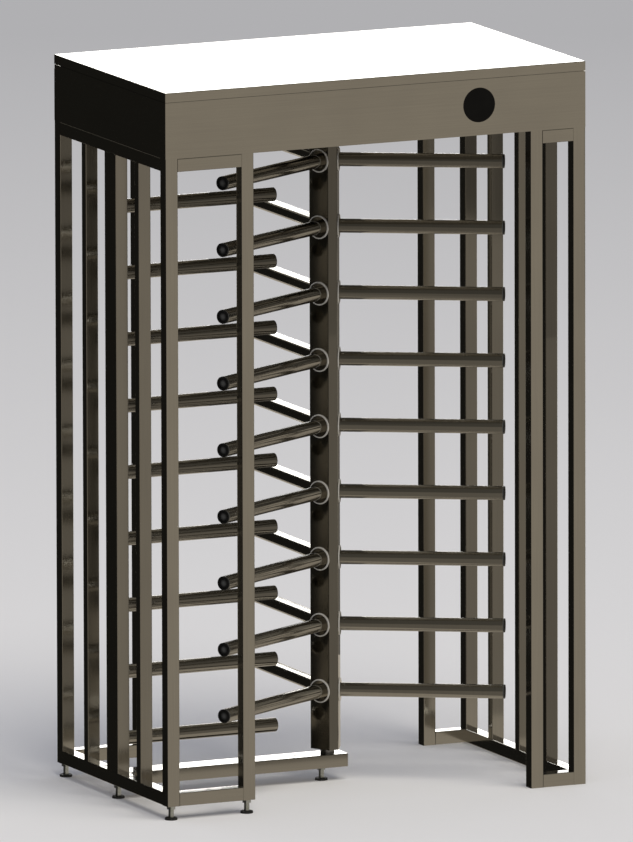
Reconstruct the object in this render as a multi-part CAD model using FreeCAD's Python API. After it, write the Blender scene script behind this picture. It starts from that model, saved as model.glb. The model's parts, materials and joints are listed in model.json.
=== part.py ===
import FreeCAD
import Part
import math
import os

# Full-height turnstile for counting visitors. Millimetres, +Z up, front towards -Y.
# The origin is on the floor at the middle of the footprint, under the centre foot.

# overall sizes
overall_width = 1380.0
overall_depth = 804.0
overall_height = 2200.0
header_height = 200.0
left_frame_lift = 42.0

# square tubes of the two side frames
tube_size = 40.0
tube_wall = 2.5
tube_corner = 2.5
post_plate = 5.0
bar_depth = 30.0
outer_bar_gap = 156.0
left_jamb_panel = 288.0
right_jamb_panel = 181.0
barrier_post_depth = 80.0
beam_depth = 80.0
beam_end_past_axis = 50.0

# rotor
rotor_x = 20.0
rotor_y = 0.0
wing_angles = (-30.0, 90.0, 210.0)
tier_count = 9
tier_pitch = 201.9
lowest_arm = 276.0
jamb_clearance = 18.6
column_face_apothem = 37.0
column_corner_apothem = 48.8
column_wall = 4.0
column_corner_radius = 5.0
column_floor_gap = 15.0
column_header_gap = 4.0
column_plug = 30.0
base_pin_radius = 12.5

# arms, both the turning ones and the fixed ones
arm_diameter = 42.4
arm_wall = 2.6
rosette_diameter = 72.0
rosette_thickness = 4.0
rosette_edge = 1.6
cap_thickness = 6.0
cap_recess_depth = 3.0
cap_rim = 5.0
cap_spigot = 15.0
cap_spigot_gap = 0.1
cap_edge = 1.2
barrier_cap_edge = 4.0
barrier_drop = 94.5
barrier_tip_gap = 170.0

# feet under the lifted left frame
foot_pad_diameter = 38.0
foot_pad_height = 7.0
foot_pad_edge = 2.0
foot_stud_diameter = 16.0
foot_stud_rise = 18.0
jam_nut_flats = 24.0
jam_nut_height = 10.0
thread_gap = 0.05

# floor anchors
anchor_hole_diameter = 13.0
beam_anchor_first = 109.0
beam_anchor_spacing = 400.0

# header sheet metal
sheet = 2.0
header_floor_thickness = 3.0
lid_lip = 29.0
lid_seam = 1.0
lid_edge = 1.6
flange_width = 16.0
rear_flange_width = 30.0
landing_drop = 6.0
landing_leg = 10.0
seal_width = 8.0
seal_gap = 0.3
hinge_radius = 5.0
hinge_drop = 6.0
hinge_pin_radius = 2.5
hinge_knuckle = 20.0
hinge_side_gap = 0.3
hinge_spacing = 500.0
hinge_channel = 7.0
hinge_channel_end = 12.0
hinge_channel_end_rise = 2.5
hinge_leaf = 8.0
hinge_leaf_root = 2.0
header_bolt_radius = 4.0
header_bolt_head = 13.0
header_bolt_head_height = 5.5
header_bolt_length = 16.0

# running fits, and how far a cut runs past the face it opens
running_gap = 0.05
overcut = 1.0
tolerance = 1e-6

# round indicator in the front and rear panels
indicator_diameter = 105.0
indicator_side = 339.0
indicator_drop = 108.0
lens_thickness = 4.0
bezel_overlap = 7.5
bezel_step = 12.5
bezel_depth = 6.0
lens_gap = 0.1
led_board_overlap = 4.0
led_board_thickness = 2.0
led_count = 12
led_radius = 2.5

# rotor head: shaft, bearing, lock wheel, index cam, gear
shaft_radius = 20.0
shaft_top_margin = 6.0
bearing_outer_radius = 40.0
bearing_inner_race = 25.5
bearing_width = 18.0
bearing_seat = 9.0
housing_height = 36.0
housing_boss_radius = 46.5
housing_flange_radius = 62.0
housing_flange = 12.0
housing_shaft_hole = 30.0
housing_bolt_circle = 54.0
collar_radius = 31.0
collar_height = 12.0
collar_slit = 3.0
level_gap = 2.0
lock_wheel_radius = 75.0
lock_wheel_height = 10.0
index_places = 6
notch_width = 22.0
notch_depth = 13.0
cam_mean_radius = 59.0
cam_lift = 4.5
cam_height = 12.0
cam_points = 72
lever_space = 9.0
gear_module = 2.0
gear_height = 10.0
gear_dedendum = 1.25
drive_teeth = 72
pinion_teeth = 24
gear_backlash = 0.6
pressure_angle = 20.0
encoder_angle = 90.0
damper_angle = -40.0
sensor_radius = 18.0
sensor_pedestal_radius = 12.0
sensor_height = 34.0
spindle_radius = 4.0
spindle_depth = 20.0

# locking pawls and their solenoids
pawl_pivot_side = 97.0
pawl_pivot_ahead = 70.0
pawl_tail = 40.0
pawl_width = 16.0
pawl_height = 8.0
pawl_nose_width = 9.0
pawl_corner = 3.0
pawl_release = 2.0
pivot_post_radius = 7.0
pivot_pin_radius = 5.0
pivot_head_radius = 8.0
pivot_head_height = 2.0
spring_coil_radius = 1.2
spring_turns = 5
spring_pitch = 2.16
spring_post_gap = 0.3
spring_drop = 2.0
link_pin_radius = 2.5
link_pin_gap = 0.8
fork_gap = 0.3
fork_plate = 3.0
plunger_radius = 7.0
plunger_reach = 26.0
plunger_depth = 34.0
fork_to_solenoid = 8.0
fork_web_gap = 4.0
plunger_bore_past = 14.0
solenoid_length = 60.0
solenoid_width = 44.0
solenoid_rise = 22.0
solenoid_foot = 6.0
solenoid_coil_radius = 17.0

# index lever with its roller
lever_length = 90.0
lever_width = 20.0
lever_plate = 5.0
roller_radius = 14.0
roller_gap = 0.6
roller_height = 10.0
roller_pin_radius = 4.0
roller_washer = 1.0

# electrics in the header
controller_length = 260.0
controller_width = 200.0
controller_height = 70.0
controller_wall = 2.5
controller_side = 210.0
board_rise = 12.0
board_thickness = 1.6
board_margin = 12.0
stand_off_radius = 4.0
stand_off_inset = 24.0
chip_columns = 4
chip_rows = 3
chip_inset = 36.0
chip_size = 12.0
chip_size_step = 6.0
chip_sizes = 3
chip_height = 6.0
supply_length = 200.0
supply_width = 110.0
supply_height = 50.0
supply_side = 290.0
supply_slots = 8
supply_slot_width = 4.0
supply_slot_depth = 6.0
supply_slot_inset = 10.0
terminal_length = 90.0
terminal_width = 24.0
terminal_height = 26.0
terminal_ways = 8
terminal_rows = 2
terminal_screw_radius = 2.5
terminal_screw_depth = 3.0
terminal_gap = 30.0
cable_hole_diameter = 28.0
cable_bore_diameter = 18.0
grommet_lip = 3.0
cable_hole_inset = 90.0

# lid lock
lock_barrel_radius = 9.5
lock_plug_radius = 6.0
lock_barrel_length = 22.0
lock_from_front = 152.0
lock_cam_length = 22.0
lock_cam_width = 12.0
lock_cam_plate = 3.0
lock_face_gap = 0.1
lock_nut_width = 2.5
lock_nut_length = 4.0
key_slot_length = 7.0
key_slot_width = 1.4
key_slot_depth = 3.0
keeper_gap = 1.5
keeper_plate = 2.0
keeper_overlap = 13.0
keeper_width = 12.0

# derived places
half_width = overall_width / 2
half_depth = overall_depth / 2
header_bottom = overall_height - header_height
tube_half = tube_size / 2
post_x = half_width - tube_half
post_y = half_depth - tube_half
frame_inner_x = half_width - tube_size
frame_inner_y = half_depth - tube_size
left_jamb_x = -half_width + left_jamb_panel - tube_half
right_jamb_x = half_width - right_jamb_panel + tube_half
side_bar_y = frame_inner_y - outer_bar_gap - bar_depth / 2
outer_anchor_y = frame_inner_y - outer_bar_gap / 2
inner_anchor_y = side_bar_y / 2
beam_top = left_frame_lift + tube_size
beam_end_x = rotor_x + beam_end_past_axis
arm_radius = arm_diameter / 2
jamb_corner_x = left_jamb_x + tube_half - rotor_x
arm_reach = math.hypot(jamb_corner_x, frame_inner_y) - jamb_clearance
column_bottom = beam_top + column_floor_gap
column_top = header_bottom - column_header_gap
floor_top = header_bottom + header_floor_thickness
housing_top = floor_top + housing_height
collar_bottom = housing_top + level_gap / 2
wheel_bottom = collar_bottom + collar_height + level_gap
cam_bottom = wheel_bottom + lock_wheel_height + lever_space
gear_bottom = cam_bottom + cam_height + level_gap
shaft_top = gear_bottom + gear_height + shaft_top_margin
gear_distance = gear_module * (drive_teeth + pinion_teeth) / 2
lid_bottom = overall_height - lid_lip
panel_top = lid_bottom - lid_seam
landing_top = panel_top - landing_drop
hinge_z = lid_bottom - hinge_drop
hinge_y = half_depth - hinge_radius
skin_inner_x = half_width - sheet
skin_inner_y = half_depth - sheet


def block(x0, x1, y0, y1, z0, z1):
    low = FreeCAD.Vector(min(x0, x1), min(y0, y1), min(z0, z1))
    return Part.makeBox(abs(x1 - x0), abs(y1 - y0), abs(z1 - z0), low)


def rod(radius, start, end):
    """A cylinder between two points."""
    a = FreeCAD.Vector(*start)
    b = FreeCAD.Vector(*end)
    return Part.makeCylinder(radius, (b - a).Length, a, b - a)


def upright(radius, x, y, z0, z1):
    return rod(radius, (x, y, z0), (x, y, z1))


def ring(outer, inner, x, y, z0, z1):
    return upright(outer, x, y, z0, z1).cut(upright(inner, x, y, z0, z1))


def hex_prism(flats, x, y, z0, z1):
    corner = flats / math.sqrt(3)
    points = []
    for side in range(7):
        turn = math.radians(60 * side)
        points.append(FreeCAD.Vector(x + corner * math.cos(turn), y + corner * math.sin(turn), z0))
    return Part.Face(Part.makePolygon(points)).extrude(FreeCAD.Vector(0, 0, z1 - z0))


def edges_along(shape, axis):
    """The straight edges that run along one axis."""
    found = []
    for edge in shape.Edges:
        if not isinstance(edge.Curve, Part.Line):
            continue
        way = edge.tangentAt(edge.FirstParameter)
        if abs(abs(way.dot(axis)) - 1) < tolerance:
            found.append(edge)
    return found


axis_ways = {"x": FreeCAD.Vector(1, 0, 0), "y": FreeCAD.Vector(0, 1, 0), "z": FreeCAD.Vector(0, 0, 1)}


def tube(x0, x1, y0, y1, z0, z1, axis, end_plate=0.0):
    """A rectangular tube with rounded corners; end_plate closes both of its ends."""
    outer = block(x0, x1, y0, y1, z0, z1)
    outer = outer.makeFillet(tube_corner, edges_along(outer, axis_ways[axis]))
    inset = {"x": tube_wall, "y": tube_wall, "z": tube_wall}
    inset[axis] = end_plate
    hollow = block(
        min(x0, x1) + inset["x"], max(x0, x1) - inset["x"],
        min(y0, y1) + inset["y"], max(y0, y1) - inset["y"],
        z0 + inset["z"], z1 - inset["z"],
    )
    return outer.cut(hollow)


def turned(shape, degrees, x=rotor_x, y=rotor_y):
    copy = shape.copy()
    copy.rotate(FreeCAD.Vector(x, y, 0), FreeCAD.Vector(0, 0, 1), degrees)
    return copy


def save(name, solids):
    shape = solids[0] if len(solids) == 1 else Part.makeCompound(solids)
    shape.exportStep("parts/" + name + ".step")
    print(name, len(shape.Solids), "solid(s)", "valid" if shape.isValid() else "NOT VALID")


# ---- side frames ----

def post(x, y, floor, has_foot):
    """A corner or jamb post, closed by a plate at each end."""
    shape = tube(
        x - tube_half, x + tube_half, y - tube_half, y + tube_half, floor, header_bottom, "z", post_plate,
    )
    bolt_hole = header_bolt_radius + thread_gap
    shape = shape.cut(upright(bolt_hole, x, y, header_bottom - post_plate, header_bottom))
    if has_foot:
        shape = shape.cut(upright(foot_stud_diameter / 2 + thread_gap, x, y, floor, floor + post_plate))
    return shape


def make_posts():
    corners = []
    jambs = []
    for y in (-post_y, post_y):
        corners.append(post(-post_x, y, left_frame_lift, True))
        corners.append(post(post_x, y, 0.0, False))
        jambs.append(post(left_jamb_x, y, left_frame_lift, True))
        jambs.append(post(right_jamb_x, y, 0.0, False))
    save("corner_posts", corners)
    save("jamb_posts", jambs)


def side_bar(x, y, floor):
    return tube(
        x - tube_half, x + tube_half, y - bar_depth / 2, y + bar_depth / 2,
        floor + tube_size, header_bottom - tube_size, "z",
    )


def make_side_bars():
    bars = []
    for y in (-side_bar_y, side_bar_y):
        bars.append(side_bar(-post_x, y, left_frame_lift))
    for y in (-side_bar_y, 0.0, side_bar_y):
        bars.append(side_bar(post_x, y, 0.0))
    save("side_bars", bars)
    half = barrier_post_depth / 2
    save("barrier_post", [tube(
        -post_x - tube_half, -post_x + tube_half, -half, half,
        beam_top, header_bottom - tube_size, "z",
    )])


def anchored(shape, x, y, z0):
    """Drills one floor anchor hole down through a bottom rail."""
    return shape.cut(upright(anchor_hole_diameter / 2, x, y, z0 - overcut, z0 + tube_size + overcut))


def rail_set(z_left, z_right):
    """The side rails and the four short rails of one level."""
    rails = {}
    for side, z0 in ((-1, z_left), (1, z_right)):
        outer = side * half_width
        inner = side * frame_inner_x
        rails[(side, 0)] = tube(outer, inner, -frame_inner_y, frame_inner_y, z0, z0 + tube_size, "y")
        jamb_face = left_jamb_x - tube_half if side < 0 else right_jamb_x + tube_half
        for end in (-1, 1):
            rails[(side, end)] = tube(
                inner, jamb_face, end * frame_inner_y, end * half_depth, z0, z0 + tube_size, "x",
            )
    return rails


left_short_x = (left_jamb_x - tube_half - frame_inner_x) / 2
right_short_x = (right_jamb_x + tube_half + frame_inner_x) / 2


def make_rails():
    bottom = rail_set(left_frame_lift, 0.0)
    for (side, end), shape in bottom.items():
        z0 = left_frame_lift if side < 0 else 0.0
        if end == 0:
            for y in (-outer_anchor_y, -inner_anchor_y, inner_anchor_y, outer_anchor_y):
                shape = anchored(shape, side * post_x, y, z0)
        else:
            shape = anchored(shape, left_short_x if side < 0 else right_short_x, end * post_y, z0)
        if (side, end) == (-1, 0):
            hole = foot_stud_diameter / 2 + thread_gap
            shape = shape.cut(upright(hole, -post_x, 0.0, z0, z0 + tube_wall))
        bottom[(side, end)] = shape
    save("bottom_rails", list(bottom.values()))
    top_z = header_bottom - tube_size
    save("top_rails", list(rail_set(top_z, top_z).values()))


beam_anchor_x = (rotor_x - beam_anchor_first, rotor_x - beam_anchor_first - beam_anchor_spacing)


def make_beam():
    half = beam_depth / 2
    beam = tube(-frame_inner_x, beam_end_x, -half, half, left_frame_lift, beam_top, "x")
    end_plate = block(
        beam_end_x - post_plate, beam_end_x, tube_wall - half, half - tube_wall,
        left_frame_lift + tube_wall, beam_top - tube_wall,
    )
    beam = beam.fuse(end_plate).removeSplitter()
    for x in beam_anchor_x:
        beam = anchored(beam, x, 0.0, left_frame_lift)
    foot_hole = foot_stud_diameter / 2 + thread_gap
    save("base_beam", [
        beam.cut(upright(foot_hole, 0.0, 0.0, left_frame_lift, left_frame_lift + tube_wall)),
    ])


def make_feet():
    places = [(-post_x, 0.0), (0.0, 0.0)]
    for y in (-post_y, post_y):
        places.append((-post_x, y))
        places.append((left_jamb_x, y))
    pads = []
    studs = []
    stud_radius = foot_stud_diameter / 2
    for x, y in places:
        pad = upright(foot_pad_diameter / 2, x, y, 0.0, foot_pad_height)
        top_edges = [e for e in pad.Edges if abs(e.BoundBox.ZMin - foot_pad_height) < tolerance]
        pads.append(pad.makeFillet(foot_pad_edge, top_edges))
        studs.append(upright(stud_radius, x, y, foot_pad_height, left_frame_lift + foot_stud_rise))
        nut = hex_prism(jam_nut_flats, x, y, left_frame_lift - jam_nut_height, left_frame_lift)
        studs.append(nut.cut(upright(stud_radius, x, y, 0.0, left_frame_lift)))
    save("foot_pads", pads)
    save("foot_studs", studs)


# ---- arms ----

def arm_tube(length):
    """A round tube along +X from the origin."""
    outer = rod(arm_radius, (0, 0, 0), (length, 0, 0))
    return outer.cut(rod(arm_radius - arm_wall, (0, 0, 0), (length, 0, 0)))


def arm_cap(start, edge, recessed):
    """A plug for an arm's open end: its head, flat or recessed, and a spigot that goes into the tube."""
    head = rod(arm_radius, (start, 0, 0), (start + cap_thickness, 0, 0))
    rim = [e for e in head.Edges if abs(e.BoundBox.XMin - start - cap_thickness) < tolerance]
    head = head.makeFillet(edge, rim)
    spigot_radius = arm_radius - arm_wall - cap_spigot_gap
    spigot = rod(spigot_radius, (start - cap_spigot, 0, 0), (start, 0, 0))
    if recessed:
        floor_x = start + cap_thickness - cap_recess_depth
        head = head.cut(rod(arm_radius - cap_rim, (floor_x, 0, 0), (start + cap_thickness, 0, 0)))
    return head.fuse(spigot)


def placed(shape, x, y, z, degrees):
    copy = shape.copy()
    copy.rotate(FreeCAD.Vector(0, 0, 0), FreeCAD.Vector(0, 0, 1), degrees)
    copy.translate(FreeCAD.Vector(x, y, z))
    return copy


def make_rotor_arms():
    length = arm_reach - cap_thickness - column_face_apothem
    tube_shape = arm_tube(length)
    cap_shape = arm_cap(length, cap_edge, True)
    rosette = rod(rosette_diameter / 2, (0, 0, 0), (rosette_thickness, 0, 0))
    rim = [e for e in rosette.Edges if abs(e.BoundBox.XMin - rosette_thickness) < tolerance]
    rosette = rosette.makeFillet(rosette_edge, rim)
    rosette = rosette.cut(rod(arm_radius, (0, 0, 0), (rosette_thickness, 0, 0)))
    tubes = []
    caps = []
    rosettes = []
    for wing in wing_angles:
        turn = math.radians(wing)
        x = rotor_x + column_face_apothem * math.cos(turn)
        y = rotor_y + column_face_apothem * math.sin(turn)
        for tier in range(tier_count):
            z = lowest_arm + tier * tier_pitch
            tubes.append(placed(tube_shape, x, y, z, wing))
            caps.append(placed(cap_shape, x, y, z, wing))
            rosettes.append(placed(rosette, x, y, z, wing))
    save("rotor_arms", tubes)
    save("rotor_arm_caps", caps)
    save("arm_rosettes", rosettes)


def make_barrier_arms():
    length = rotor_x - barrier_tip_gap + frame_inner_x - cap_thickness
    tube_shape = arm_tube(length)
    cap_shape = arm_cap(length, barrier_cap_edge, False)
    tubes = []
    caps = []
    for tier in range(tier_count):
        z = lowest_arm - barrier_drop + tier * tier_pitch
        tubes.append(placed(tube_shape, -frame_inner_x, 0.0, z, 0.0))
        caps.append(placed(cap_shape, -frame_inner_x, 0.0, z, 0.0))
    save("barrier_arms", tubes)
    save("barrier_arm_caps", caps)


# ---- rotor column ----

def column_outline(inset, z):
    """The column's section: three wide faces that carry the arms, and three narrow ones."""
    face = column_face_apothem - inset
    corner = column_corner_apothem - inset
    half_face = (corner - face / 2) / math.sin(math.radians(60))
    points = []
    for wing in wing_angles:
        turn = math.radians(wing)
        for side in (-half_face, half_face):
            points.append(FreeCAD.Vector(
                rotor_x + face * math.cos(turn) - side * math.sin(turn),
                rotor_y + face * math.sin(turn) + side * math.cos(turn), z,
            ))
    points.append(points[0])
    return Part.Face(Part.makePolygon(points))


def column_prism(inset, z0, z1, radius):
    prism = column_outline(inset, z0).extrude(FreeCAD.Vector(0, 0, z1 - z0))
    return prism.makeFillet(radius, edges_along(prism, axis_ways["z"]))


def make_column():
    inner_radius = column_corner_radius - column_wall
    outer = column_prism(0.0, column_bottom, column_top, column_corner_radius)
    save("column_tube", [outer.cut(column_prism(column_wall, column_bottom, column_top, inner_radius))])
    foot = column_prism(column_wall, column_bottom, column_bottom + column_plug, inner_radius)
    save("column_foot", [foot.cut(upright(
        base_pin_radius + running_gap, rotor_x, rotor_y, column_bottom, column_bottom + column_plug,
    ))])
    plug = column_prism(column_wall, column_top - column_plug, column_top, inner_radius)
    shaft = upright(shaft_radius, rotor_x, rotor_y, column_top - column_plug, shaft_top)
    save("rotor_shaft", [plug.fuse(shaft)])
    stub_top = column_bottom - seal_gap
    stub = upright(arm_radius, rotor_x, rotor_y, beam_top, stub_top)
    pin = upright(base_pin_radius, rotor_x, rotor_y, stub_top, column_bottom + column_plug - level_gap)
    save("base_pivot", [stub.fuse(pin)])


# ---- rotor head ----

def housing_bolt_places():
    places = []
    for quarter in range(4):
        turn = math.radians(45 + 90 * quarter)
        x = rotor_x + housing_bolt_circle * math.cos(turn)
        places.append((x, rotor_y + housing_bolt_circle * math.sin(turn)))
    return places


def make_bearing():
    z0 = floor_top + bearing_seat
    z1 = z0 + bearing_width
    housing = upright(housing_flange_radius, rotor_x, rotor_y, floor_top, floor_top + housing_flange)
    housing = housing.fuse(upright(housing_boss_radius, rotor_x, rotor_y, floor_top, housing_top))
    housing = housing.cut(upright(housing_shaft_hole, rotor_x, rotor_y, floor_top, housing_top))
    housing = housing.cut(upright(bearing_outer_radius, rotor_x, rotor_y, z0, housing_top))
    for x, y in housing_bolt_places():
        hole = upright(header_bolt_radius + thread_gap, x, y, floor_top, floor_top + housing_flange)
        housing = housing.cut(hole)
    save("bearing_housing", [housing])
    save("bearing_outer_ring", [
        ring(bearing_outer_radius, bearing_inner_race + running_gap, rotor_x, rotor_y, z0, z1),
    ])
    save("bearing_inner_ring", [ring(bearing_inner_race, shaft_radius, rotor_x, rotor_y, z0, z1)])


def make_collar():
    collar = ring(collar_radius, shaft_radius, rotor_x, rotor_y, collar_bottom, collar_bottom + collar_height)
    slit = block(
        rotor_x, rotor_x + collar_radius + overcut,
        rotor_y - collar_slit / 2, rotor_y + collar_slit / 2,
        collar_bottom, collar_bottom + collar_height,
    )
    save("shaft_collar", [collar.cut(slit)])


def make_lock_wheel():
    z0 = wheel_bottom
    z1 = wheel_bottom + lock_wheel_height
    wheel = ring(lock_wheel_radius, shaft_radius, rotor_x, rotor_y, z0, z1)
    notch = block(
        rotor_x + lock_wheel_radius - notch_depth, rotor_x + lock_wheel_radius + overcut,
        rotor_y - notch_width / 2, rotor_y + notch_width / 2, z0, z1,
    )
    for place in range(index_places):
        wheel = wheel.cut(turned(notch, place * 360 / index_places))
    save("lock_wheel", [wheel])


def make_index_cam():
    """A disc with one hollow for each index place; one hollow faces the roller, in front of the axis."""
    points = []
    for step in range(cam_points):
        turn = 2 * math.pi * step / cam_points
        radius = cam_mean_radius - cam_lift * math.cos(index_places * (turn - math.radians(270)))
        points.append(FreeCAD.Vector(
            rotor_x + radius * math.cos(turn), rotor_y + radius * math.sin(turn), cam_bottom,
        ))
    curve = Part.BSplineCurve()
    curve.interpolate(points, PeriodicFlag=True)
    face = Part.Face(Part.Wire(curve.toShape()))
    cam = face.extrude(FreeCAD.Vector(0, 0, cam_height))
    save("index_cam", [cam.cut(upright(shaft_radius, rotor_x, rotor_y, cam_bottom, cam_bottom + cam_height))])


def gear(teeth, x, y, z0, z1, first_tooth):
    """A spur gear with straight-sided teeth; first_tooth is the angle of one tooth's middle."""
    pitch_radius = gear_module * teeth / 2
    root_radius = pitch_radius - gear_dedendum * gear_module
    tip_radius = pitch_radius + gear_module
    slope = math.tan(math.radians(pressure_angle))
    thickness = math.pi * gear_module / 2 - gear_backlash
    root_half = (thickness / 2 + gear_dedendum * gear_module * slope) / root_radius
    tip_half = (thickness / 2 - gear_module * slope) / tip_radius
    points = []
    for tooth in range(teeth):
        middle = math.radians(first_tooth) + 2 * math.pi * tooth / teeth
        for radius, turn in (
            (root_radius, -root_half), (tip_radius, -tip_half),
            (tip_radius, tip_half), (root_radius, root_half),
        ):
            points.append(FreeCAD.Vector(
                x + radius * math.cos(middle + turn), y + radius * math.sin(middle + turn), z0,
            ))
    points.append(points[0])
    return Part.Face(Part.makePolygon(points)).extrude(FreeCAD.Vector(0, 0, z1 - z0))


def gear_train(name_wheel, name_body, degrees):
    """A pinion on the drive gear, its spindle, and the pedestal that holds it."""
    turn = math.radians(degrees)
    x = rotor_x + gear_distance * math.cos(turn)
    y = rotor_y + gear_distance * math.sin(turn)
    gap_at_mesh = degrees + 180 + 180 / pinion_teeth
    top = gear_bottom + gear_height
    body_top = gear_bottom - level_gap
    pinion = gear(pinion_teeth, x, y, gear_bottom, top, gap_at_mesh)
    save(name_wheel, [pinion.fuse(upright(spindle_radius, x, y, body_top - spindle_depth, top + level_gap))])
    body = upright(sensor_radius, x, y, body_top - sensor_height, body_top)
    body = body.fuse(upright(sensor_pedestal_radius, x, y, floor_top, body_top - sensor_height))
    bore_bottom = body_top - spindle_depth - level_gap
    body = body.cut(upright(spindle_radius + running_gap, x, y, bore_bottom, body_top))
    save(name_body, [body])


def make_gears():
    tooth_at_mesh = encoder_angle
    drive = gear(drive_teeth, rotor_x, rotor_y, gear_bottom, gear_bottom + gear_height, tooth_at_mesh)
    drive = drive.cut(upright(shaft_radius, rotor_x, rotor_y, gear_bottom, gear_bottom + gear_height))
    save("drive_gear", [drive])
    gear_train("encoder_gear", "encoder_body", encoder_angle)
    gear_train("damper_gear", "damper_body", damper_angle)


# ---- pawls and solenoids ----

pawl_bottom = wheel_bottom + (lock_wheel_height - pawl_height) / 2


def make_pawl(side):
    """A pawl beside the lock wheel; side is -1 to its left and 1 to its right."""
    pivot_x = rotor_x + side * pawl_pivot_side
    pivot_y = rotor_y + pawl_pivot_ahead
    z0 = pawl_bottom
    z1 = pawl_bottom + pawl_height
    tip_x = rotor_x + side * (lock_wheel_radius + pawl_release)
    half = pawl_width / 2
    bar = block(
        pivot_x - half, pivot_x + half, rotor_y - pawl_nose_width, pivot_y + pawl_tail + half, z0, z1,
    )
    nose = block(
        tip_x, pivot_x, rotor_y - pawl_nose_width / 2, rotor_y + pawl_nose_width / 2, z0, z1,
    )
    bar = bar.makeFillet(pawl_corner, edges_along(bar, axis_ways["z"]))
    pawl = bar.fuse(nose)
    pawl = pawl.cut(upright(pivot_pin_radius + running_gap, pivot_x, pivot_y, z0, z1))
    pawl = pawl.cut(upright(link_pin_radius + link_pin_gap, pivot_x, pivot_y + pawl_tail, z0, z1))
    return pawl


def make_plunger(side):
    """The solenoid's plunger, with a fork that takes the pawl's tail."""
    pivot_x = rotor_x + side * pawl_pivot_side
    y = rotor_y + pawl_pivot_ahead + pawl_tail
    z0 = pawl_bottom - fork_gap
    z1 = pawl_bottom + pawl_height + fork_gap
    middle = pawl_bottom + pawl_height / 2
    near = pivot_x - side * (pawl_width / 2)
    far = pivot_x + side * (plunger_reach - fork_to_solenoid)
    fork = block(near, far, y - plunger_radius, y + plunger_radius, z0 - fork_plate, z0)
    fork = fork.fuse(block(near, far, y - plunger_radius, y + plunger_radius, z1, z1 + fork_plate))
    web_start = pivot_x + side * (pawl_width / 2 + fork_web_gap)
    fork = fork.fuse(block(web_start, far, y - plunger_radius, y + plunger_radius, z0, z1))
    fork = fork.fuse(upright(link_pin_radius, pivot_x, y, z0, z1))
    end = pivot_x + side * (plunger_reach + plunger_depth)
    return fork.fuse(rod(plunger_radius, (far, y, middle), (end, y, middle)))


def make_solenoid(side):
    pivot_x = rotor_x + side * pawl_pivot_side
    y = rotor_y + pawl_pivot_ahead + pawl_tail
    middle = pawl_bottom + pawl_height / 2
    near = pivot_x + side * plunger_reach
    far = near + side * solenoid_length
    half = solenoid_width / 2
    frame = block(near, far, y - half, y + half, floor_top, floor_top + solenoid_foot)
    top = middle + solenoid_rise
    for x in (near, far - side * solenoid_foot):
        frame = frame.fuse(block(x, x + side * solenoid_foot, y - half, y + half, floor_top, top))
    frame = frame.fuse(rod(solenoid_coil_radius, (near, y, middle), (far, y, middle)))
    bore_end = near + side * (plunger_depth + plunger_bore_past)
    return frame.cut(rod(plunger_radius + running_gap, (near, y, middle), (bore_end, y, middle)))


lifted_radius = cam_mean_radius + cam_lift + roller_radius + roller_gap
lever_pivot = (rotor_x - lever_length, rotor_y - lifted_radius)
lever_bottom = cam_bottom - lever_plate


def pivot_stand(x, y, arm_bottom, arm_height):
    """A shouldered post with a pin for a swinging arm and a head that keeps the arm on."""
    stand = upright(pivot_post_radius, x, y, floor_top, arm_bottom - fork_gap)
    pin_top = arm_bottom + arm_height + fork_gap
    stand = stand.fuse(upright(pivot_pin_radius, x, y, arm_bottom - fork_gap, pin_top))
    return stand.fuse(upright(pivot_head_radius, x, y, pin_top, pin_top + pivot_head_height))


def coil_spring(x, y, z_top):
    """A torsion spring's close-wound coil around a post, as one ribbed sleeve."""
    coils = None
    coil_radius = pivot_post_radius + spring_coil_radius + spring_post_gap
    for turn in range(spring_turns):
        z = z_top - spring_coil_radius - turn * spring_pitch
        wire = Part.makeTorus(coil_radius, spring_coil_radius, FreeCAD.Vector(x, y, z))
        coils = wire if coils is None else coils.fuse(wire)
    return coils


def make_locks():
    places = []
    for side, name in ((-1, "entry"), (1, "exit")):
        save(name + "_pawl", [make_pawl(side)])
        save(name + "_plunger", [make_plunger(side)])
        x = rotor_x + side * pawl_pivot_side
        places.append((x, rotor_y + pawl_pivot_ahead, pawl_bottom, pawl_height))
    places.append((lever_pivot[0], lever_pivot[1], lever_bottom, lever_plate))
    save("solenoid_bodies", [make_solenoid(-1), make_solenoid(1)])
    save("pivot_stands", [pivot_stand(*place) for place in places])
    springs = [place[:3] for place in places]
    save("return_springs", [coil_spring(x, y, z - spring_drop) for x, y, z in springs])


def make_index_lever():
    x, y = lever_pivot
    z0 = lever_bottom
    z1 = lever_bottom + lever_plate
    half = lever_width / 2
    lever = block(x, x + lever_length, y - half, y + half, z0, z1)
    lever = lever.fuse(upright(half, x, y, z0, z1))
    lever = lever.fuse(upright(half, x + lever_length, y, z0, z1))
    lever = lever.cut(upright(pivot_pin_radius + running_gap, x, y, z0, z1))
    roller_x = x + lever_length
    roller_z = z1 + roller_washer
    pin_top = roller_z + roller_height + fork_gap
    lever = lever.fuse(upright(roller_pin_radius, roller_x, y, z1, pin_top))
    save("index_lever", [lever.removeSplitter()])
    roller_bore = roller_pin_radius + running_gap
    save("index_roller", [ring(roller_radius, roller_bore, roller_x, y, roller_z, roller_z + roller_height)])


# ---- header ----

def header_bolt(x, y, seat):
    """The one bolt size of the header; it fixes the header to the posts and the bearing to the floor."""
    shank = upright(header_bolt_radius, x, y, seat - header_bolt_length, seat)
    return shank.fuse(hex_prism(header_bolt_head, x, y, seat, seat + header_bolt_head_height))


def frame_bolt_places():
    places = []
    for y in (-post_y, post_y):
        for x in (-post_x, left_jamb_x, right_jamb_x, post_x):
            places.append((x, y))
    return places


cable_x = half_width - cable_hole_inset
cable_y = frame_inner_y - cable_hole_inset


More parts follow.
